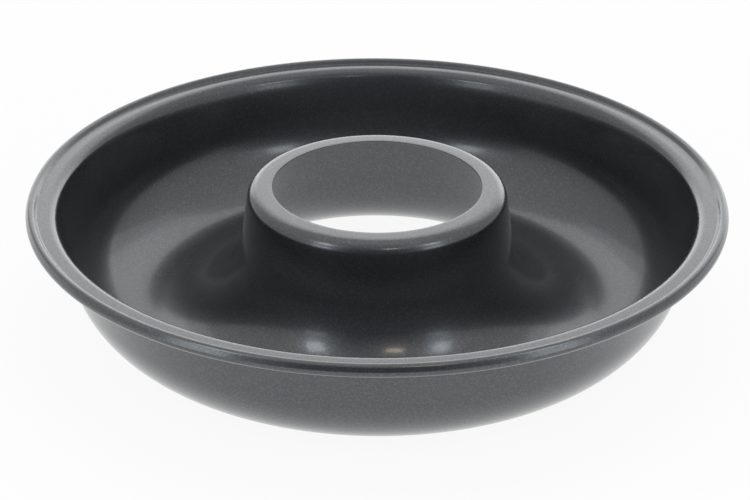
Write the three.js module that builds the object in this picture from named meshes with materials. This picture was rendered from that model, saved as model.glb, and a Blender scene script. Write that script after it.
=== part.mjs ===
// Savarin mould: a ring-shaped baking mould, pressed from one steel sheet whose edge is rolled over a wire.
// Millimetres, +Z up. The origin is on the table, in the middle of the mould, and Z is the mould's axis.
import * as THREE from "three";

// Overall sizes
const RIM_DIAMETER = 240; // over the rolled rim
const RIM_HEIGHT = 45.6; // from the table to the crown of the rolled rim
const CHIMNEY_HEIGHT = 46.5; // from the table to the top of the chimney

// Sheet and wire
const SHEET = 0.6; // thickness of the pressed steel
const WIRE_DIAMETER = 2;
const WIRE_CLEARANCE = 0.3; // between the wire and the sheet rolled over it
const WIRE_END_GAP = 2; // between the two cut ends of the wire

// Chimney. Bends are given on the middle line of the sheet, here and below.
const HOLE_DIAMETER = 72.5;
const LIP_WIDTH = 4.3; // flat ring round the hole
const SHOULDER_BEND = 4.2; // radius between the lip and the chimney's wall
const CHIMNEY_DRAFT = THREE.MathUtils.degToRad(8.5); // from upright

// Trough
const WALL_DRAFT = THREE.MathUtils.degToRad(10.5); // from upright
const FOOT_WIDTH = 2.5; // flat ring that the mould stands on, between the two round bends of the trough

// Rim
const FLANGE_BEND = 3.5; // radius between the wall and the flange
const FLANGE_WIDTH = 3.2; // flat ring between the bend and the rolled rim
const FLANGE_DROP = 1.65; // from the crown of the rolled rim down to the flange
const CREASE_BEND = 0.8; // radius where the flange turns up into the rolled rim
const CREST_SLOPE = THREE.MathUtils.degToRad(54); // of the rolled rim's inner side, from level
const CROWN_BEND = 1.1; // radius over the crown of the rolled rim
const CREST_RISE = 0.6; // of the crown above a plain round roll over the wire
const CURL_GAP = 0.4; // between the end of the rolled edge and the flange above it

// Fineness of the faceted surfaces
const SECTORS = 60; // round the axis
const CHORD_ERROR = 0.12; // between a bend and its chords
const STEP_ANGLE = THREE.MathUtils.degToRad(23); // largest turn of one chord in a small bend
const WIRE_SIDES = 8;

// Colours from the photograph
const COAT_COLOUR = 0x3b3c3f;
const WIRE_COLOUR = 0x9a9b9d;

// Heights of the sheet's middle line
const FLOOR_Z = SHEET / 2;
const LIP_Z = CHIMNEY_HEIGHT - SHEET / 2;
const FLANGE_Z = RIM_HEIGHT - FLANGE_DROP - SHEET / 2;

// Rolled rim: round the wire, with its crown straight above it
const CURL_RADIUS = WIRE_DIAMETER / 2 + WIRE_CLEARANCE + SHEET / 2;
const ROLL_RADIUS = CURL_RADIUS + SHEET / 2;
const WIRE_CENTRE = new THREE.Vector2(RIM_DIAMETER / 2 - ROLL_RADIUS, RIM_HEIGHT - CREST_RISE - ROLL_RADIUS);
const CROWN_CENTRE = new THREE.Vector2(WIRE_CENTRE.x, RIM_HEIGHT - SHEET / 2 - CROWN_BEND);
const TOP = Math.PI / 2;
const WIDEST = 0;

// A section point is (distance from the axis, height). A station is a point on the sheet's middle line
// and the direction, square to the sheet, of its upper face.
const point = (radius, height) => new THREE.Vector2(radius, height);
const direction = (angle) => point(Math.cos(angle), Math.sin(angle));

// Number of chords that keep a bend within the chord error and the largest step.
function chordCount(radius, turn) {
  const finest = 2 * Math.acos(1 - CHORD_ERROR / radius);
  return Math.ceil(Math.abs(turn) / Math.min(finest, STEP_ANGLE));
}

// Stations along an arc. The upper face is on the arc's outside (side = 1) or on its inside (side = -1).
function arcStations(centre, radius, from, to, side) {
  const count = chordCount(radius, to - from);
  return Array.from({ length: count + 1 }, (_, i) => {
    const outwards = direction(from + ((to - from) * i) / count);
    return {
      at: centre.clone().addScaledVector(outwards, radius),
      up: outwards.clone().multiplyScalar(side),
    };
  });
}

// Stations of the bend that rounds the corner between two straight stretches of the section.
function bendStations(before, corner, after, radius) {
  const arriving = corner.clone().sub(before).normalize();
  const leaving = after.clone().sub(corner).normalize();
  const turn = Math.atan2(arriving.cross(leaving), arriving.dot(leaving));
  const left = point(-arriving.y, arriving.x).multiplyScalar(Math.sign(turn));
  const start = corner.clone().addScaledVector(arriving, -radius * Math.tan(Math.abs(turn) / 2));
  const centre = start.clone().addScaledVector(left, radius);
  const from = Math.atan2(-left.y, -left.x);
  return arcStations(centre, radius, from, from + turn, -Math.sign(turn));
}

// How far a bend reaches along the level stretch that it joins to a wall with this draft.
const reach = (radius, draft) => radius * Math.tan((Math.PI / 2 - draft) / 2);

// Radius of the trough's two round bends: they fill the trough on both sides of the foot ring, as far as the
// wall and the chimney are tall enough for them.
function troughBend(chimneyFoot, wallFoot) {
  const room = wallFoot.x - chimneyFoot.x - FOOT_WIDTH;
  const tallest = Math.min(LIP_Z - SHOULDER_BEND, FLANGE_Z - FLANGE_BEND) - FLOOR_Z;
  return Math.min(room / (reach(1, CHIMNEY_DRAFT) + reach(1, WALL_DRAFT)), tallest);
}

// Stations of the rolled rim: a crease turns the flange up to the crown, then the sheet runs straight down
// to the curl, which goes round the wire from the outside.
function rimStations() {
  const inner = TOP + CREST_SLOPE;
  const outer = Math.asin((CURL_RADIUS - CROWN_BEND) / (CROWN_CENTRE.y - WIRE_CENTRE.y));
  const crest = CROWN_CENTRE.clone().addScaledVector(direction(inner), CROWN_BEND);
  const crease = point(crest.x - (crest.y - FLANGE_Z) / Math.tan(CREST_SLOPE), FLANGE_Z);
  const endHeight = FLANGE_Z - SHEET / 2 - CURL_GAP - WIRE_CENTRE.y;
  const curlEnd = -Math.PI - Math.asin(endHeight / CURL_RADIUS);
  return [
    ...bendStations(point(0, FLANGE_Z), crease, crest, CREASE_BEND),
    ...arcStations(CROWN_CENTRE, CROWN_BEND, inner, TOP, 1),
    ...arcStations(CROWN_CENTRE, CROWN_BEND, TOP, outer, 1).slice(1),
    ...arcStations(WIRE_CENTRE, CURL_RADIUS, outer, WIDEST, 1),
    ...arcStations(WIRE_CENTRE, CURL_RADIUS, WIDEST, curlEnd, 1).slice(1),
  ];
}

// Stations of the whole sheet: from the edge of the hole, down the chimney, through the trough, over the rim.
// The corners between its straight stretches are sharp points first, which the bends then round.
function sheetStations() {
  const rim = rimStations();
  const flangeEnd = rim[0].at;
  const holeEdge = point(HOLE_DIAMETER / 2, LIP_Z);
  const shoulder = point(holeEdge.x + LIP_WIDTH + reach(SHOULDER_BEND, CHIMNEY_DRAFT), LIP_Z);
  const chimneyFoot = point(shoulder.x + (LIP_Z - FLOOR_Z) * Math.tan(CHIMNEY_DRAFT), FLOOR_Z);
  const wallTop = point(flangeEnd.x - FLANGE_WIDTH - reach(FLANGE_BEND, WALL_DRAFT), FLANGE_Z);
  const wallFoot = point(wallTop.x - (FLANGE_Z - FLOOR_Z) * Math.tan(WALL_DRAFT), FLOOR_Z);
  const trough = troughBend(chimneyFoot, wallFoot);
  return [
    { at: holeEdge, up: direction(TOP) },
    ...bendStations(holeEdge, shoulder, chimneyFoot, SHOULDER_BEND),
    ...bendStations(shoulder, chimneyFoot, wallFoot, trough),
    ...bendStations(chimneyFoot, wallFoot, wallTop, trough),
    ...bendStations(wallFoot, wallTop, flangeEnd, FLANGE_BEND),
    ...rim,
  ];
}

// The pressed shell: the sheet's upper and lower faces, joined at both cut edges and turned round the axis.
function mouldShell() {
  const stations = sheetStations();
  const face = (side) => stations.map(({ at, up }) => at.clone().addScaledVector(up, (side * SHEET) / 2));
  const outline = [...face(-1), ...face(1).reverse()];
  const geometry = new THREE.LatheGeometry([...outline, outline[0]], SECTORS);
  geometry.rotateX(Math.PI / 2);
  return geometry;
}

// Path of the wire: a ring round the axis, open by the gap between its ends.
class WirePath extends THREE.Curve {
  getPoint(share, target = new THREE.Vector3()) {
    const gap = WIRE_END_GAP / WIRE_CENTRE.x;
    const angle = gap / 2 + share * (2 * Math.PI - gap);
    return target.set(WIRE_CENTRE.x * Math.cos(angle), WIRE_CENTRE.x * Math.sin(angle), WIRE_CENTRE.y);
  }
}

// The wire that stiffens the rolled rim, with both its ends cut square.
function rimWire() {
  const corner = (_, i) => direction((2 * Math.PI * i) / WIRE_SIDES).multiplyScalar(WIRE_DIAMETER / 2);
  const section = new THREE.Shape(Array.from({ length: WIRE_SIDES }, corner));
  return new THREE.ExtrudeGeometry(section, {
    steps: SECTORS,
    bevelEnabled: false,
    extrudePath: new WirePath(),
  });
}

// A named piece of the mould.
function piece(name, geometry, material) {
  const mesh = new THREE.Mesh(geometry, material);
  mesh.name = name;
  return mesh;
}

const coat = new THREE.MeshStandardMaterial({ color: COAT_COLOUR, roughness: 0.35, metalness: 0.3 });
const steel = new THREE.MeshStandardMaterial({ color: WIRE_COLOUR, roughness: 0.4, metalness: 1 });

const mould = new THREE.Group();
mould.add(piece("mould_shell", mouldShell(), coat));
mould.add(piece("rim_wire", rimWire(), steel));

export default mould;
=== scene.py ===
"""Looks of a savarin mould: a ring-shaped baking mould of pressed steel with a dark non-stick coat.

Metres, +Z up. The origin is on the table, in the middle of the mould, and Z is the mould's axis.
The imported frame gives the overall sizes. The fine shell and the fine wire below stand for its two nodes.
"""

import logging
import math
from dataclasses import dataclass, field
from enum import Enum
from typing import Sequence

import bpy
from mathutils import Euler, Matrix, Vector


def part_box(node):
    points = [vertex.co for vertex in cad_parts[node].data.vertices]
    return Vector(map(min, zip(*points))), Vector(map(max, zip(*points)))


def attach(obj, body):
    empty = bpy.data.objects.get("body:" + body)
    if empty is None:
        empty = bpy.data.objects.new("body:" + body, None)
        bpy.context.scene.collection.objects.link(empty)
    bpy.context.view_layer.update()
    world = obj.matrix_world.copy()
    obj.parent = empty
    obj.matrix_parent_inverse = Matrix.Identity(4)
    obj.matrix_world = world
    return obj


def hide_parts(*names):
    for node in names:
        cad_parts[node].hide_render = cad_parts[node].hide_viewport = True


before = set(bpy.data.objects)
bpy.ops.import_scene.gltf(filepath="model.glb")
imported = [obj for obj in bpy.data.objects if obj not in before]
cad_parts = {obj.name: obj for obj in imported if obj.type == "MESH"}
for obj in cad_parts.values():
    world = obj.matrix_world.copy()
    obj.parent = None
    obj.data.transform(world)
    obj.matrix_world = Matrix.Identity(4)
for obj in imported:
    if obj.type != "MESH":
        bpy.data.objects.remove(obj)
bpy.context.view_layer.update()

MM = 0.001
EDGE_MASK = "edge"
LOG = logging.getLogger("savarin_mould")

# A shade is a share from 0 to 1 with its grey, and a place is where a node stands in the editor.
Colour = tuple[float, float, float]
Shade = tuple[float, float]
Place = tuple[float, float]
Socket = bpy.types.NodeSocket


class Body(Enum):
    """Bodies of the frame that a piece can ride on."""

    ROOT = "root"


class Node(Enum):
    """Nodes of the frame that a fine piece stands for."""

    SHELL = "mould_shell"
    WIRE = "rim_wire"


class Slot(Enum):
    """Material slots of the record."""

    COAT = "coat"
    WIRE = "wire"


class Face(Enum):
    """The two faces of the sheet, by the sign of their distance from its middle line."""

    UPPER = 1
    LOWER = -1


@dataclass(frozen=True)
class Station:
    """A place on the middle line of the sheet's half section.

    Attributes:
        at: Distance from the axis and height.
        up: Unit direction, square to the sheet, of its upper face.
    """

    at: Vector
    up: Vector

    def travel(self) -> Vector:
        """Unit direction along the sheet, from the hole towards the rolled edge."""
        return Vector((self.up.y, -self.up.x))

    def face(self, side: Face, sheet: float) -> Vector:
        """Point of one face of a sheet of this thickness."""
        return self.at + self.up * (side.value * sheet / 2)


@dataclass(frozen=True)
class Fineness:
    """How finely curves become chords.

    Attributes:
        turn: Largest turn of one chord.
        chord: Longest chord or straight step.
        corner_steps: Chords of each small corner of a cut edge.
        sectors: Steps round the mould's axis.
    """

    turn: float = math.radians(5)
    chord: float = 1.6 * MM
    corner_steps: int = 4
    sectors: int = 240

    def steps(self, radius: float, angle: float) -> int:
        """Number of chords for an arc of this radius and angle."""
        longest = min(self.turn, self.chord / radius)
        return max(1, math.ceil(abs(angle) / longest))


def direction(angle: float) -> Vector:
    """Unit vector of the section at this angle from the outward direction."""
    return Vector((math.cos(angle), math.sin(angle)))


def bend_reach(radius: float, draft: float) -> float:
    """Length that a bend takes of the level stretch that it joins to a wall with this draft."""
    return radius * math.tan((math.pi / 2 - draft) / 2)


@dataclass(frozen=True)
class SheetSection:
    """Half section of the pressed sheet, from the edge of the hole to the rolled edge.

    The first five sizes come from the frame. Bends are radii on the sheet's middle line, and drafts are
    angles from upright.

    Attributes:
        rim_radius: From the axis to the widest point of the rolled rim.
        chimney_height: From the table to the lip of the chimney.
        wire_ring: Radius of the ring that the middle of the wire lies on.
        wire_height: Height of the middle of the wire.
        wire_diameter: Thickness of the wire.
        sheet: Thickness of the sheet.
        hole_radius: Radius of the hole in the chimney.
        lip_width: Width of the flat ring round the hole.
        shoulder_bend: Bend between the lip and the chimney's wall.
        chimney_draft: Draft of the chimney's wall.
        wall_draft: Draft of the outer wall.
        foot_width: Width of the flat ring that the mould stands on.
        wall_flare: Angle by which the outer wall opens further, close under the flange.
        flare_bend: Bend between the outer wall and its flared top.
        flange_bend: Bend between the flared top and the flange.
        flange_width: Width of the flange without its bends, as if the wall had no flare.
        flange_drop: From the crown of the rolled rim down to the flange.
        crease_bend: Bend where the flange turns up into the rolled rim.
        crest_slope: Slope of the rolled rim's inner side, from level.
        crown_bend: Bend over the crown of the rolled rim.
        crest_rise: Rise of the crown above a plain round roll over the wire.
        curl_gap: Gap between the end of the rolled edge and the flange above it.
        edge_round: Radius of the corners of the cut edges.
        gentle_bend: Bend of a face up to which the coat keeps its plain colour.
        sharp_bend: Bend of a face from which the coat is lightest, by wear and painted highlight.
        fineness: How finely the section becomes chords.
    """

    rim_radius: float
    chimney_height: float
    wire_ring: float
    wire_height: float
    wire_diameter: float
    sheet: float = 0.6 * MM
    hole_radius: float = 36.25 * MM
    lip_width: float = 4.3 * MM
    shoulder_bend: float = 4.2 * MM
    chimney_draft: float = math.radians(8.5)
    wall_draft: float = math.radians(10.5)
    foot_width: float = 2.5 * MM
    wall_flare: float = math.radians(8.5)
    flare_bend: float = 21 * MM
    flange_bend: float = 3.5 * MM
    flange_width: float = 3.2 * MM
    flange_drop: float = 1.65 * MM
    crease_bend: float = 0.8 * MM
    crest_slope: float = math.radians(54)
    crown_bend: float = 1.1 * MM
    crest_rise: float = 0.6 * MM
    curl_gap: float = 0.4 * MM
    edge_round: float = 0.15 * MM
    gentle_bend: float = 1.7 * MM
    sharp_bend: float = 1.1 * MM
    fineness: Fineness = field(default_factory=Fineness)

    @classmethod
    def from_frame(cls) -> "SheetSection":
        """Takes the overall sizes from the boxes of the frame's two nodes."""
        _, shell_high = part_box(Node.SHELL.value)
        wire_low, wire_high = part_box(Node.WIRE.value)
        wire_diameter = wire_high.z - wire_low.z
        return cls(
            rim_radius=shell_high.x,
            chimney_height=shell_high.z,
            wire_ring=-wire_low.x - wire_diameter / 2,
            wire_height=(wire_low.z + wire_high.z) / 2,
            wire_diameter=wire_diameter,
        )

    @property
    def curl_radius(self) -> float:
        """Radius of the rolled edge: it reaches the rim's widest point with half the sheet outside it."""
        return self.rim_radius - self.wire_ring - self.sheet / 2

    @property
    def rim_height(self) -> float:
        """Height of the crown of the rolled rim."""
        return self.wire_height + self.curl_radius + self.sheet / 2 + self.crest_rise

    @property
    def floor_z(self) -> float:
        """Height of the middle line at the foot of the trough."""
        return self.sheet / 2

    @property
    def lip_z(self) -> float:
        """Height of the middle line at the lip of the chimney."""
        return self.chimney_height - self.sheet / 2

    @property
    def flange_z(self) -> float:
        """Height of the middle line at the flange."""
        return self.rim_height - self.flange_drop - self.sheet / 2

    def arc(self, centre: Vector, radius: float, start: float, end: float, side: Face) -> list[Station]:
        """Stations along an arc.

        Args:
            centre: Middle of the arc.
            radius: Radius of the arc.
            start: Angle of the first station.
            end: Angle of the last station.
            side: Face of the sheet that is on the outside of the arc.

        Returns:
            The stations, both ends included.
        """
        count = self.fineness.steps(radius, end - start)
        angles = (start + (end - start) * i / count for i in range(count + 1))
        rays = [direction(angle) for angle in angles]
        return [Station(centre + ray * radius, ray * side.value) for ray in rays]

    def bend(self, before: Vector, corner: Vector, after: Vector, radius: float) -> list[Station]:
        """Stations of the bend that rounds a corner of the section.

        Args:
            before: Corner that the sheet comes from.
            corner: Corner to round.
            after: Corner that the sheet goes to.
            radius: Radius of the bend.

        Returns:
            The stations, both ends included.
        """
        arriving = (corner - before).normalized()
        leaving = (after - corner).normalized()
        turn = math.atan2(arriving.cross(leaving), arriving.dot(leaving))
        hand = math.copysign(1, turn)
        left = Vector((-arriving.y, arriving.x)) * hand
        start = corner - arriving * (radius * math.tan(abs(turn) / 2))
        first = math.atan2(-left.y, -left.x)
        outside = Face.LOWER if turn > 0 else Face.UPPER
        return self.arc(start + left * radius, radius, first, first + turn, outside)

    def rolled_rim(self) -> list[Station]:
        """Stations of the rim: a crease turns the flange up to the crown, then a curl rounds the wire."""
        wire = Vector((self.wire_ring, self.wire_height))
        crown = Vector((wire.x, self.rim_height - self.sheet / 2 - self.crown_bend))
        top, widest = math.pi / 2, 0.0
        inner = top + self.crest_slope
        outer = math.asin((self.curl_radius - self.crown_bend) / (crown.y - wire.y))
        crest = crown + direction(inner) * self.crown_bend
        crease = Vector((crest.x - (crest.y - self.flange_z) / math.tan(self.crest_slope), self.flange_z))
        end_height = self.flange_z - self.sheet / 2 - self.curl_gap - wire.y
        curl_end = -math.pi - math.asin(end_height / self.curl_radius)
        return [
            *self.bend(Vector((0, self.flange_z)), crease, crest, self.crease_bend),
            *self.arc(crown, self.crown_bend, inner, top, Face.UPPER),
            *self.arc(crown, self.crown_bend, top, outer, Face.UPPER)[1:],
            *self.arc(wire, self.curl_radius, outer, widest, Face.UPPER),
            *self.arc(wire, self.curl_radius, widest, curl_end, Face.UPPER)[1:],
        ]

    def trough_bend(self, chimney_foot: Vector, wall_foot: Vector) -> float:
        """Radius of the trough's two round bends, which fill it on both sides of the foot ring."""
        room = wall_foot.x - chimney_foot.x - self.foot_width
        return room / (bend_reach(1, self.chimney_draft) + bend_reach(1, self.wall_draft))

    def bends(self) -> list[Station]:
        """Stations of all the bends of the sheet, in order, with the edge of the hole first."""
        rim = self.rolled_rim()
        flange_end = rim[0].at
        hole_edge = Vector((self.hole_radius, self.lip_z))
        lip = self.lip_width + bend_reach(self.shoulder_bend, self.chimney_draft)
        shoulder = hole_edge + Vector((lip, 0))
        drop = self.lip_z - self.floor_z
        chimney_foot = shoulder + Vector((drop * math.tan(self.chimney_draft), -drop))
        flange = self.flange_width + bend_reach(self.flange_bend, self.wall_draft)
        wall_top = flange_end - Vector((flange, 0))
        rise = self.flange_z - self.floor_z
        wall_foot = wall_top - Vector((rise * math.tan(self.wall_draft), rise))
        trough = self.trough_bend(chimney_foot, wall_foot)
        flare_draft = self.wall_draft + self.wall_flare
        flare = bend_reach(self.flange_bend, flare_draft) + self.flare_bend * math.tan(self.wall_flare / 2)
        flare_drop = flare * math.cos(flare_draft)
        flare_foot = wall_top - Vector((flare_drop * math.tan(self.wall_draft), flare_drop))
        flare_top = flare_foot + Vector((flare_drop * math.tan(flare_draft), flare_drop))
        return [
            Station(hole_edge, Vector((0, 1))),
            *self.bend(hole_edge, shoulder, chimney_foot, self.shoulder_bend),
            *self.bend(shoulder, chimney_foot, wall_foot, trough),
            *self.bend(chimney_foot, wall_foot, wall_top, trough),
            *self.bend(wall_foot, flare_foot, flare_top, self.flare_bend),
            *self.bend(flare_foot, flare_top, flange_end, self.flange_bend)[1:],
            *rim,
        ]

    def stations(self) -> list[Station]:
        """Stations of the whole sheet, with the straight stretches between the bends filled in."""
        corners = self.bends()
        filled = [corners[0]]
        for last, station in zip(corners, corners[1:]):
            gap = (station.at - last.at).length
            count = max(1, math.ceil(gap / self.fineness.chord))
            for i in range(1, count + 1):
                share = i / count
                up = last.up.lerp(station.up, share).normalized()
                filled.append(Station(last.at.lerp(station.at, share), up))
        return filled

    def cut_edge(self, station: Station, outwards: Vector, start: Face) -> list[Vector]:
        """Outline of a cut edge of the sheet, with both its corners slightly rounded.

        Args:
            station: Last station of the sheet.
            outwards: Direction in which the sheet ends.
            start: Face that the outline comes from.

        Returns:
            Points from one face round the edge to the other.
        """
        across = station.up * start.value
        steps = self.fineness.corner_steps
        points = []
        for side in (1, -1):
            centre = station.at + across * (side * (self.sheet / 2 - self.edge_round))
            centre -= outwards * self.edge_round
            for i in range(steps + 1):
                share = i / steps if side > 0 else 1 - i / steps
                angle = share * math.pi / 2
                ray = across * (side * math.cos(angle)) + outwards * math.sin(angle)
                points.append(centre + ray * self.edge_round)
        return points

    def outline(self) -> list[Vector]:
        """Closed outline of the sheet's section, with the sheet on the left of the way round."""
        stations = self.stations()
        first, last = stations[0], stations[-1]
        inner = stations[1:-1]
        return [
            *(station.face(Face.LOWER, self.sheet) for station in inner),
            *self.cut_edge(last, last.travel(), Face.LOWER),
            *(station.face(Face.UPPER, self.sheet) for station in reversed(inner)),
            *self.cut_edge(first, -first.travel(), Face.UPPER),
        ]

    def sharpness(self, outline: list[Vector]) -> list[float]:
        """Tells how sharp the bends of an outline are.

        Args:
            outline: Closed outline, with the sheet on the left of the way round.

        Returns:
            For each point 0 where the outline is flat, hollow or gently bent, up to 1 at the sharp edges.
        """
        shares = []
        for before, here, after in zip(outline[-1:] + outline[:-1], outline, outline[1:] + outline[:1]):
            arriving, leaving = here - before, after - here
            turn = math.atan2(arriving.cross(leaving), arriving.dot(leaving))
            bend = 2 * turn / (arriving.length + leaving.length)
            share = (bend * self.gentle_bend - 1) / (self.gentle_bend / self.sharp_bend - 1)
            shares.append(min(max(share, 0.0), 1.0))
        return shares


def mesh_object(name: str, points: Sequence[Vector], faces: Sequence[Sequence[int]]) -> bpy.types.Object:
    """Makes a smooth-shaded mesh object and links it into the scene.

    Args:
        name: Name of the object and of its mesh.
        points: Corners, in the frame of the mould.
        faces: Corner numbers of each face, anticlockwise seen from outside.

    Returns:
        The new object.
    """
    mesh = bpy.data.meshes.new(name)
    mesh.from_pydata([tuple(p) for p in points], [], [tuple(f) for f in faces])
    mesh.validate()
    mesh.shade_smooth()
    piece = bpy.data.objects.new(name, mesh)
    bpy.context.scene.collection.objects.link(piece)
    return piece


def mark_edges(piece: bpy.types.Object, shares: Sequence[float]) -> None:
    """Stores on each corner of a piece how sharp the edge there is, from 0 to 1.

    Args:
        piece: The piece to mark.
        shares: Sharpness of each corner.
    """
    mask = piece.data.attributes.new(EDGE_MASK, "FLOAT", "POINT")
    mask.data.foreach_set("value", list(shares))


def turned(outline: Sequence[Vector], angles: Sequence[float]) -> list[Vector]:
    """Places a closed outline of the section at some angles round the axis.

    Args:
        outline: Points of the section, with the solid on the left of the way round.
        angles: Angles round the axis, in rising order.

    Returns:
        The points, ring by ring.
    """
    rays = [direction(angle) for angle in angles]
    return [Vector((p.x * ray.x, p.x * ray.y, p.y)) for ray in rays for p in outline]


def bands(size: int, rings: int, closed: bool) -> list[tuple[int, ...]]:
    """Joins rings of corners, each to the next, by four-sided faces.

    Args:
        size: Corners of one ring.
        rings: Number of rings.
        closed: Whether the last ring joins the first.

    Returns:
        The faces, ring by ring.
    """
    faces = []
    for ring in range(rings if closed else rings - 1):
        here, there = ring * size, (ring + 1) % rings * size
        for i in range(size):
            after = (i + 1) % size
            faces.append((here + i, there + i, there + after, here + after))
    return faces


class Nodes:
    """Shorthand for filling a node tree.

    Attributes:
        tree: The node tree to fill.
    """

    def __init__(self, tree: bpy.types.NodeTree) -> None:
        """Starts on an empty tree."""
        self.tree = tree
        tree.nodes.clear()

    def add(self, kind: str, place: Place, **settings: object) -> bpy.types.Node:
        """Adds a node.

        Args:
            kind: Blender's name of the node type.
            place: Where the node stands in the editor.
            **settings: Properties of the node.

        Returns:
            The new node.
        """
        node = self.tree.nodes.new(kind)
        node.location = place
        for name, value in settings.items():
            setattr(node, name, value)
        return node

    def link(self, start: Socket, end: Socket) -> None:
        """Joins an output to an input."""
        self.tree.links.new(start, end)

    def value(self, node: bpy.types.Node, **inputs: object) -> None:
        """Sets inputs of a node by name, with underscores for spaces."""
        for name, value in inputs.items():
            node.inputs[name.replace("_", " ")].default_value = value

    def span(self, source: Socket, low: float, high: float, place: Place) -> Socket:
        """Maps a value from 0 to 1 onto another span.

        Args:
            source: Output that gives the value.
            low: Result at 0.
            high: Result at 1.
            place: Where the node stands in the editor.

        Returns:
            The output with the result.
        """
        node = self.add("ShaderNodeMapRange", place)
        self.value(node, To_Min=low, To_Max=high)
        self.link(source, node.inputs["Value"])
        return node.outputs["Result"]

    def mix(self, place: Place, **settings: object) -> tuple[Socket, Socket, Socket, Socket]:
        """Adds a node that mixes two colours.

        Args:
            place: Where the node stands in the editor.
            **settings: Properties of the node.

        Returns:
            The input for the share of the second colour, the inputs for the two colours, and the output.
        """
        node = self.add("ShaderNodeMix", place, data_type="RGBA", **settings)
        first, second = (socket for socket in node.inputs if socket.type == "RGBA")
        result = next(socket for socket in node.outputs if socket.type == "RGBA")
        return node.inputs["Factor"], first, second, result

    def tint(self, share: Socket, first: Colour | Socket, second: Colour, place: Place) -> Socket:
        """Blends two colours.

        Args:
            share: Output that gives the share of the second colour.
            first: Colour at 0, or the output that gives it.
            second: Colour at 1.
            place: Where the node stands in the editor.

        Returns:
            The output with the blended colour.
        """
        factor, first_input, second_input, result = self.mix(place)
        if isinstance(first, Socket):
            self.link(first, first_input)
        else:
            first_input.default_value = (*first, 1)
        second_input.default_value = (*second, 1)
        self.link(share, factor)
        return result

    def ramp(self, source: Socket, shades: Sequence[Shade], place: Place) -> Socket:
        """Gives a value from 0 to 1 the grey that some shades have there.

        Args:
            source: Output that gives the value.
            shades: Shades, in rising order of their shares.
            place: Where the node stands in the editor.

        Returns:
            The output with the grey.
        """
        node = self.add("ShaderNodeValToRGB", place)
        stops = node.color_ramp.elements
        while len(stops) < len(shades):
            stops.new(1.0)
        for stop, (where, grey) in zip(stops, shades):
            stop.position = where
            stop.color = (grey, grey, grey, 1)
        self.link(source, node.inputs["Fac"])
        return node.outputs["Color"]


class SurfaceGrain:
    """Shader group for the fine grain of a metal surface, and for its sharp edges: lighter by wear and
    painted highlight.

    Its outputs are masks from 0 to 1: Grain is the pebbled relief, Speckle the single bright flakes,
    Patch the broad, faint unevenness that handling leaves, and Wear And Highlight the patchy lighter places
    along sharp edges: wear, and on the coat also a painted highlight.

    Attributes:
        NAME: Name of the group.
        GRAIN_NOISE: Settings of the noise that makes the grain.
        PATCH_NOISE: Settings of the noise that makes the patches.
        RUBBED_AND_HIGHLIT_PATCHES: Patch masks at which an edge keeps its own colour and at which it is
            lightest, by wear and painted highlight.
        INPUTS: Inputs of the group, with their socket types.
        OUTPUTS: Outputs of the group.
    """

    NAME = "surface_grain"
    GRAIN_NOISE = {"Detail": 2.0, "Roughness": 0.55}
    PATCH_NOISE = {"Detail": 4.0, "Roughness": 0.6}
    RUBBED_AND_HIGHLIT_PATCHES = {"From_Min": 0.3, "From_Max": 0.7}
    INPUTS = {
        "Vector": "NodeSocketVector",
        "Grain Scale": "NodeSocketFloat",
        "Speckle Share": "NodeSocketFloat",
        "Patch Scale": "NodeSocketFloat",
        "Edge": "NodeSocketFloat",
    }
    OUTPUTS = ("Grain", "Speckle", "Patch", "Wear And Highlight")

    @classmethod
    def group(cls) -> bpy.types.NodeTree:
        """Gives the group, built on the first call."""
        return bpy.data.node_groups.get(cls.NAME) or cls.build()

    @classmethod
    def build(cls) -> bpy.types.NodeTree:
        """Builds the group and returns it."""
        tree = bpy.data.node_groups.new(cls.NAME, "ShaderNodeTree")
        for name, kind in cls.INPUTS.items():
            tree.interface.new_socket(name, in_out="INPUT", socket_type=kind)
        for name in cls.OUTPUTS:
            tree.interface.new_socket(name, in_out="OUTPUT", socket_type="NodeSocketFloat")
        nodes = Nodes(tree)
        given = nodes.add("NodeGroupInput", (-900, 0))
        made = nodes.add("NodeGroupOutput", (500, 0))
        grain = nodes.add("ShaderNodeTexNoise", (-500, 250))
        nodes.value(grain, **cls.GRAIN_NOISE)
        cells = nodes.add("ShaderNodeTexVoronoi", (-500, 0))
        spread = nodes.add("ShaderNodeSeparateColor", (-300, 0))
        bright = nodes.add("ShaderNodeMapRange", (-100, 0))
        nodes.value(bright, To_Min=1.0, To_Max=0.0)
        patch = nodes.add("ShaderNodeTexNoise", (-500, -300))
        nodes.value(patch, **cls.PATCH_NOISE)
        # Sharp edges in some patches are painted lighter: wear, and on the coat also a painted highlight.
        rubbed_and_highlit = nodes.add("ShaderNodeMapRange", (-100, -450))
        nodes.value(rubbed_and_highlit, **cls.RUBBED_AND_HIGHLIT_PATCHES)
        wear_and_highlight = nodes.add("ShaderNodeMath", (150, -400), operation="MULTIPLY")
        for texture, scale in ((grain, "Grain Scale"), (cells, "Grain Scale"), (patch, "Patch Scale")):
            nodes.link(given.outputs["Vector"], texture.inputs["Vector"])
            nodes.link(given.outputs[scale], texture.inputs["Scale"])
        nodes.link(cells.outputs["Color"], spread.inputs["Color"])
        nodes.link(spread.outputs["Red"], bright.inputs["Value"])
        nodes.link(given.outputs["Speckle Share"], bright.inputs["From Max"])
        nodes.link(grain.outputs["Fac"], made.inputs["Grain"])
        nodes.link(bright.outputs["Result"], made.inputs["Speckle"])
        nodes.link(patch.outputs["Fac"], made.inputs["Patch"])
        nodes.link(patch.outputs["Fac"], rubbed_and_highlit.inputs["Value"])
        nodes.link(rubbed_and_highlit.outputs["Result"], wear_and_highlight.inputs[0])
        nodes.link(given.outputs["Edge"], wear_and_highlight.inputs[1])
        nodes.link(wear_and_highlight.outputs["Value"], made.inputs["Wear And Highlight"])
        return tree


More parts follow.
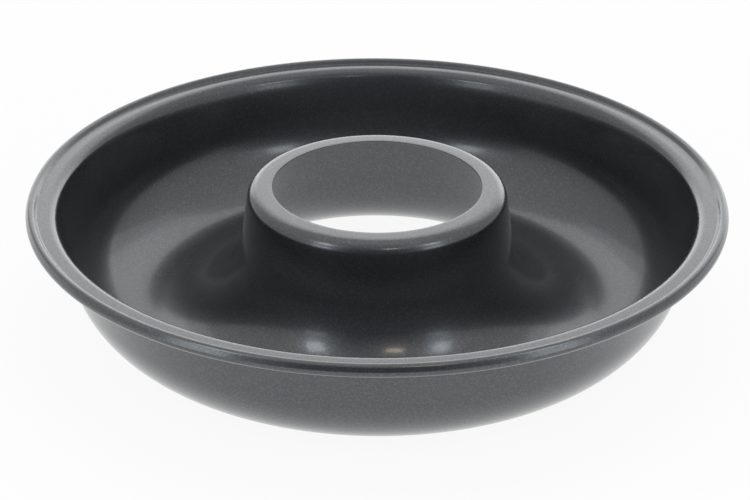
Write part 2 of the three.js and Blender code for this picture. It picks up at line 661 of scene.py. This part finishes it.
@dataclass(frozen=True)
class GrainedMetal:
    """A metal finish with fine grain, with or without a clear top layer.

    Attributes:
        name: Name of the material.
        ground: Colours of the finish at its darkest and at its lightest patches.
        flake: Colour of its bright flakes.
        worn_and_highlit: Colour of the lighter places along sharp edges: wear, and on the coat also a
            painted highlight.
        metallic: Share of the metal in the finish.
        roughness: Roughness at the smoothest and at the roughest patches.
        grain_size: Size of one grain.
        patch_size: Size of one patch.
        speckle_share: Share of the grains that are bright flakes.
        relief: Height of the grain.
        top_layer: Share of the surface that a clear top layer covers.
        top_roughness: Roughness of the top layer.
    """

    name: str
    ground: tuple[Colour, Colour]
    flake: Colour
    worn_and_highlit: Colour
    metallic: float
    roughness: tuple[float, float]
    grain_size: float
    patch_size: float
    speckle_share: float
    relief: float
    top_layer: float = 0.0
    top_roughness: float = 0.1

    def material(self) -> bpy.types.Material:
        """Builds the material and returns it."""
        material = bpy.data.materials.new(self.name)
        material.use_nodes = True
        nodes = Nodes(material.node_tree)
        output = nodes.add("ShaderNodeOutputMaterial", (700, 0))
        shader = nodes.add("ShaderNodeBsdfPrincipled", (400, 0))
        nodes.value(
            shader, Metallic=self.metallic, Coat_Weight=self.top_layer, Coat_Roughness=self.top_roughness
        )
        place = nodes.add("ShaderNodeTexCoord", (-700, 0))
        grain = nodes.add("ShaderNodeGroup", (-450, 0), node_tree=SurfaceGrain.group())
        nodes.value(
            grain,
            Grain_Scale=1 / self.grain_size,
            Speckle_Share=self.speckle_share,
            Patch_Scale=1 / self.patch_size,
        )
        edge = nodes.add("ShaderNodeAttribute", (-700, -250), attribute_name=EDGE_MASK)
        bump = nodes.add("ShaderNodeBump", (100, -300))
        nodes.value(bump, Strength=1.0, Distance=self.relief)
        nodes.link(place.outputs["Object"], grain.inputs["Vector"])
        nodes.link(edge.outputs["Fac"], grain.inputs["Edge"])
        ground = nodes.tint(grain.outputs["Patch"], *self.ground, (-250, 250))
        flaked = nodes.tint(grain.outputs["Speckle"], ground, self.flake, (-50, 250))
        # Sharp edges are lightened: wear, and on the coat also a painted highlight of the bright edge
        # lines.
        worn_and_highlit = nodes.tint(grain.outputs["Wear And Highlight"], flaked, self.worn_and_highlit, (150, 250))
        roughness = nodes.span(grain.outputs["Patch"], *self.roughness, (-150, 0))
        nodes.link(worn_and_highlit, shader.inputs["Base Color"])
        nodes.link(roughness, shader.inputs["Roughness"])
        nodes.link(grain.outputs["Grain"], bump.inputs["Height"])
        nodes.link(bump.outputs["Normal"], shader.inputs["Normal"])
        nodes.link(shader.outputs["BSDF"], output.inputs["Surface"])
        return material


NON_STICK_COAT = GrainedMetal(
    name="dark non-stick coat",
    ground=((0.068, 0.072, 0.08), (0.086, 0.09, 0.094)),
    flake=(0.119, 0.124, 0.131),
    # Light sharp edges, such as the rim's crown and the hole's edge: faint wear and a painted highlight.
    worn_and_highlit=(0.15, 0.155, 0.16),
    metallic=0.9,
    roughness=(0.25, 0.31),
    grain_size=0.34 * MM,
    patch_size=30 * MM,
    speckle_share=0.45,
    relief=0.002 * MM,
    top_layer=0.7,
    top_roughness=0.12,
)
DRAWN_STEEL = GrainedMetal(
    name="drawn steel wire",
    ground=((0.29, 0.29, 0.3), (0.37, 0.37, 0.38)),
    flake=(0.42, 0.42, 0.43),
    worn_and_highlit=(0.55, 0.55, 0.56),
    metallic=1.0,
    roughness=(0.3, 0.5),
    grain_size=0.2 * MM,
    patch_size=8 * MM,
    speckle_share=0.2,
    relief=0.003 * MM,
)


@dataclass
class MouldShell:
    """The pressed shell: trough, chimney, flange and rolled rim in one sheet.

    Attributes:
        section: Half section of the sheet.
        finish: Finish of the whole sheet.
    """

    section: SheetSection
    finish: GrainedMetal = NON_STICK_COAT

    def build(self) -> bpy.types.Object:
        """Turns the section round the axis and returns the piece."""
        outline, sectors = self.section.outline(), self.section.fineness.sectors
        points = turned(outline, [2 * math.pi * sector / sectors for sector in range(sectors)])
        piece = mesh_object("pressed_shell", points, bands(len(outline), sectors, closed=True))
        mark_edges(piece, self.section.sharpness(outline) * sectors)
        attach(piece, Body.ROOT.value)
        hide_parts(Node.SHELL.value)
        return self.dress(piece)

    def dress(self, piece: bpy.types.Object) -> bpy.types.Object:
        """Gives the piece its coat and returns it."""
        piece.data.materials.append(self.finish.material())
        return piece


@dataclass
class RimWire:
    """The wire inside the rolled rim: a ring with its two cut ends apart.

    Attributes:
        section: Half section of the sheet that is rolled over the wire.
        end_gap: Gap between the ends.
        sides: Steps round the wire's own thickness.
        finish: Finish of the wire.
    """

    section: SheetSection
    end_gap: float = 2 * MM
    sides: int = 20
    finish: GrainedMetal = DRAWN_STEEL

    def build(self) -> bpy.types.Object:
        """Sweeps the wire's circle round the axis and returns the piece."""
        centre = Vector((self.section.wire_ring, self.section.wire_height))
        radius = self.section.wire_diameter / 2
        rays = [direction(2 * math.pi * i / self.sides) for i in range(self.sides)]
        circle = [centre + ray * radius for ray in rays]
        gap = self.end_gap / self.section.wire_ring
        steps = self.section.fineness.sectors
        angles = [gap / 2 + (2 * math.pi - gap) * step / steps for step in range(steps + 1)]
        faces = bands(self.sides, len(angles), closed=False)
        faces.append(tuple(range(self.sides)))
        faces.append(tuple(steps * self.sides + i for i in reversed(range(self.sides))))
        piece = mesh_object("rolled_in_wire", turned(circle, angles), faces)
        cut_end, between = [1.0] * self.sides, [0.0] * (self.sides * (steps - 1))
        mark_edges(piece, cut_end + between + cut_end)
        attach(piece, Body.ROOT.value)
        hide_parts(Node.WIRE.value)
        return self.dress(piece)

    def dress(self, piece: bpy.types.Object) -> bpy.types.Object:
        """Gives the wire its finish and returns the piece."""
        piece.data.materials.append(self.finish.material())
        return piece


WHITE_LIGHT = (1.0, 1.0, 1.0)
COOL_LIGHT = (0.92, 1.0, 1.04)
WARM_LIGHT = (1.0, 0.86, 0.66)

# Shares of a direction that are level, and the level direction from the mould to the camera
LEVEL_PART = (1, 1, 0)
FRONT = (0, -1, 0)


@dataclass(frozen=True)
class SoftBox:
    """A rectangular studio lamp that faces the mould.

    Attributes:
        name: Name of the lamp.
        azimuth: Direction of the lamp from the mould, in degrees from straight behind it towards the right.
        elevation: Height of the lamp above the horizon, in degrees.
        distance: Distance from the mould.
        size: Width and height of the lit face.
        level: Brightness of the lit face, where 1 is white.
        colour: Colour of the light.
    """

    name: str
    azimuth: float
    elevation: float
    distance: float
    size: tuple[float, float]
    level: float
    colour: Colour = WHITE_LIGHT

    def build(self) -> None:
        """Adds the lamp to the scene."""
        width, height = self.size
        lamp = bpy.data.lights.new(self.name, "AREA")
        lamp.shape = "RECTANGLE"
        lamp.size, lamp.size_y = width, height
        lamp.energy = self.level * math.pi * width * height
        lamp.color = self.colour
        stand = bpy.data.objects.new(self.name, lamp)
        azimuth, elevation = math.radians(self.azimuth), math.radians(self.elevation)
        outward = math.cos(elevation)
        away = Vector((math.sin(azimuth) * outward, math.cos(azimuth) * outward, math.sin(elevation)))
        stand.location = away * self.distance
        stand.rotation_euler = away.to_track_quat("Z", "Y").to_euler()
        stand.visible_camera = False
        bpy.context.scene.collection.objects.link(stand)


@dataclass
class Studio:
    """White table, a surround that is white overhead and darker behind the camera, and soft lamps.

    Attributes:
        floor_size: Side of the table.
        floor_gap: How far the table lies under the mould, so that the two faces don't fall into one.
        floor_colour: Colour of the table.
        floor_white: Share of plain white in what the camera and reflections see of the table.
        height_shades: Shades of the surround from 0 at the horizon to 1 straight above.
        dark_colour: Colour of the dark room behind the camera, as a share of the surround's.
        dark_sides: Cosines of the angles from straight behind the camera where the dark starts and is full.
        dark_heights: Shares of the dark from 0 at the horizon to 1 straight above.
        lamps: The soft lamps.
    """

    floor_size: float = 12.0
    floor_gap: float = 0.02 * MM
    floor_colour: Colour = (0.9, 0.9, 0.9)
    floor_white: float = 0.92
    height_shades: tuple[Shade, ...] = (
        (0.0, 1.0),
        (0.15, 0.68),
        (0.2, 0.66),
        (0.4, 0.72),
        (0.6, 0.8),
        (0.85, 0.84),
        (0.95, 1.0),
    )
    dark_colour: Colour = (0.25, 0.27, 0.32)
    dark_sides: tuple[float, float] = (0.63, 0.96)
    dark_heights: tuple[Shade, ...] = (
        (0.4, 1.0),
        (0.56, 0.86),
        (0.68, 0.6),
        (0.78, 0.46),
        (0.96, 0.38),
        (1.0, 0.0),
    )
    lamps: tuple[SoftBox, ...] = (
        SoftBox("back softbox", 6, 28, 1.2, (1.3, 1.3), 0.42),
        SoftBox("wide back softbox", 6, 28, 1.25, (2.1, 1.4), 0.42),
        SoftBox("low back strip", 5, 12, 1.2, (2.0, 0.5), 0.4),
        SoftBox("cool strip left", -136, 27, 0.38, (0.09, 0.27), 0.44, COOL_LIGHT),
        SoftBox("cool strip right", 135, 27, 0.38, (0.09, 0.27), 0.44, COOL_LIGHT),
        SoftBox("low cool strip left", -137, 15, 0.28, (0.075, 0.1), 1.15, COOL_LIGHT),
        SoftBox("low cool strip right", 136, 15, 0.28, (0.075, 0.1), 1.05, COOL_LIGHT),
        SoftBox("cool lamp left", -135, 38, 0.34, (0.058, 0.058), 3.6, COOL_LIGHT),
        SoftBox("cool lamp right", 132, 38, 0.34, (0.058, 0.058), 3.0, COOL_LIGHT),
        SoftBox("warm lamp", 166.8, 40, 0.36, (0.058, 0.022), 7.0, WARM_LIGHT),
    )

    def world(self) -> None:
        """Makes the surround, shaded by height and dark behind the camera."""
        world = bpy.data.worlds.new("graded surround")
        world.use_nodes = True
        nodes = Nodes(world.node_tree)
        output = nodes.add("ShaderNodeOutputWorld", (700, 0))
        background = nodes.add("ShaderNodeBackground", (500, 0))
        factor, by_height, by_side, shaded = nodes.mix((300, 0), blend_type="MULTIPLY")
        factor.default_value = 1.0
        place = nodes.add("ShaderNodeTexCoord", (-1100, 0))
        parts = nodes.add("ShaderNodeSeparateXYZ", (-900, 100))
        level = nodes.add("ShaderNodeVectorMath", (-900, -150), operation="MULTIPLY")
        level.inputs[1].default_value = LEVEL_PART
        bearing = nodes.add("ShaderNodeVectorMath", (-700, -150), operation="NORMALIZE")
        front = nodes.add("ShaderNodeVectorMath", (-500, -150), operation="DOT_PRODUCT")
        front.inputs[1].default_value = FRONT
        sides = nodes.add("ShaderNodeMapRange", (-300, -150))
        nodes.value(sides, From_Min=self.dark_sides[0], From_Max=self.dark_sides[1])
        dark = nodes.add("ShaderNodeMath", (-100, -250), operation="MULTIPLY")
        nodes.link(place.outputs["Generated"], parts.inputs["Vector"])
        nodes.link(place.outputs["Generated"], level.inputs[0])
        nodes.link(level.outputs["Vector"], bearing.inputs[0])
        nodes.link(bearing.outputs["Vector"], front.inputs[0])
        nodes.link(front.outputs["Value"], sides.inputs["Value"])
        nodes.link(sides.outputs["Result"], dark.inputs[0])
        nodes.link(nodes.ramp(parts.outputs["Z"], self.dark_heights, (-400, -400)), dark.inputs[1])
        nodes.link(nodes.ramp(parts.outputs["Z"], self.height_shades, (0, 150)), by_height)
        nodes.link(nodes.tint(dark.outputs["Value"], WHITE_LIGHT, self.dark_colour, (100, -150)), by_side)
        nodes.link(shaded, background.inputs["Color"])
        nodes.link(background.outputs["Background"], output.inputs["Surface"])
        bpy.context.scene.world = world

    def floor_material(self) -> bpy.types.Material:
        """Builds the table's material: lit white, mostly plain white to the camera and to reflections."""
        material = bpy.data.materials.new("white table")
        material.use_nodes = True
        nodes = Nodes(material.node_tree)
        output = nodes.add("ShaderNodeOutputMaterial", (700, 0))
        blend = nodes.add("ShaderNodeMixShader", (450, 0))
        lit = nodes.add("ShaderNodeBsdfDiffuse", (200, -50))
        lit.inputs["Color"].default_value = (*self.floor_colour, 1)
        white = nodes.add("ShaderNodeEmission", (200, -250))
        path = nodes.add("ShaderNodeLightPath", (-400, 200))
        seen = nodes.add("ShaderNodeMath", (-200, 250), operation="MAXIMUM")
        seen_through = nodes.add("ShaderNodeMath", (0, 250), operation="MAXIMUM")
        share = nodes.add("ShaderNodeMath", (200, 250), operation="MULTIPLY")
        share.inputs[1].default_value = self.floor_white
        nodes.link(path.outputs["Is Camera Ray"], seen.inputs[0])
        nodes.link(path.outputs["Is Glossy Ray"], seen.inputs[1])
        nodes.link(seen.outputs["Value"], seen_through.inputs[0])
        nodes.link(path.outputs["Is Transmission Ray"], seen_through.inputs[1])
        nodes.link(seen_through.outputs["Value"], share.inputs[0])
        nodes.link(share.outputs["Value"], blend.inputs["Fac"])
        nodes.link(lit.outputs["BSDF"], blend.inputs[1])
        nodes.link(white.outputs["Emission"], blend.inputs[2])
        nodes.link(blend.outputs["Shader"], output.inputs["Surface"])
        return material

    def floor(self) -> None:
        """Lays the table under the mould."""
        half = self.floor_size / 2
        square = ((-half, -half), (half, -half), (half, half), (-half, half))
        corners = [Vector((x, y, -self.floor_gap)) for x, y in square]
        table = mesh_object("white_table", corners, [range(len(corners))])
        table.data.materials.append(self.floor_material())

    def build(self) -> None:
        """Builds the whole studio."""
        self.world()
        self.floor()
        for lamp in self.lamps:
            lamp.build()


@dataclass(frozen=True)
class ViewPoint:
    """The camera, as fitted to the photograph.

    Attributes:
        aside: How far the camera stands to the right of the mould's axis.
        distance: Distance from the middle of the rim's top plane.
        elevation: Angle of the camera above that plane.
        pitch: Angle by which the camera looks down.
        roll: Turn of the camera about its own axis.
        focal: Focal length, in pixels of the photograph.
        picture_width: Width of the photograph, in pixels.
        nearest: Nearest distance that the camera sees.
    """

    aside: float = -0.68 * MM
    distance: float = 657.7 * MM
    elevation: float = math.radians(25.78)
    pitch: float = math.radians(27.68)
    roll: float = 0.0038
    focal: float = 1904.9
    picture_width: float = 750
    nearest: float = 10 * MM

    def build(self, rim_height: float) -> None:
        """Adds the camera and makes it the scene's.

        Args:
            rim_height: Height of the rim's top plane.
        """
        data = bpy.data.cameras.new("camera")
        data.sensor_fit = "HORIZONTAL"
        data.lens = self.focal / self.picture_width * data.sensor_width
        data.clip_start = self.nearest
        camera = bpy.data.objects.new("camera", data)
        camera.location = (
            self.aside,
            -self.distance * math.cos(self.elevation),
            rim_height + self.distance * math.sin(self.elevation),
        )
        tilt = Euler((math.pi / 2 - self.pitch, 0, 0)).to_matrix()
        camera.rotation_euler = (tilt @ Matrix.Rotation(self.roll, 3, "Z")).to_euler()
        bpy.context.scene.collection.objects.link(camera)
        bpy.context.scene.camera = camera


def main() -> None:
    """Builds the mould's pieces and the studio round them."""
    logging.basicConfig(level=logging.INFO, format="%(name)s: %(message)s")
    bpy.context.scene.view_settings.view_transform = "Standard"
    section = SheetSection.from_frame()
    for part in (MouldShell(section), RimWire(section)):
        piece = part.build()
        LOG.info("%s: %d faces, %s", piece.name, len(piece.data.polygons), part.finish.name)
    Studio().build()
    ViewPoint().build(section.rim_height)


if __name__ == "__main__":
    main()
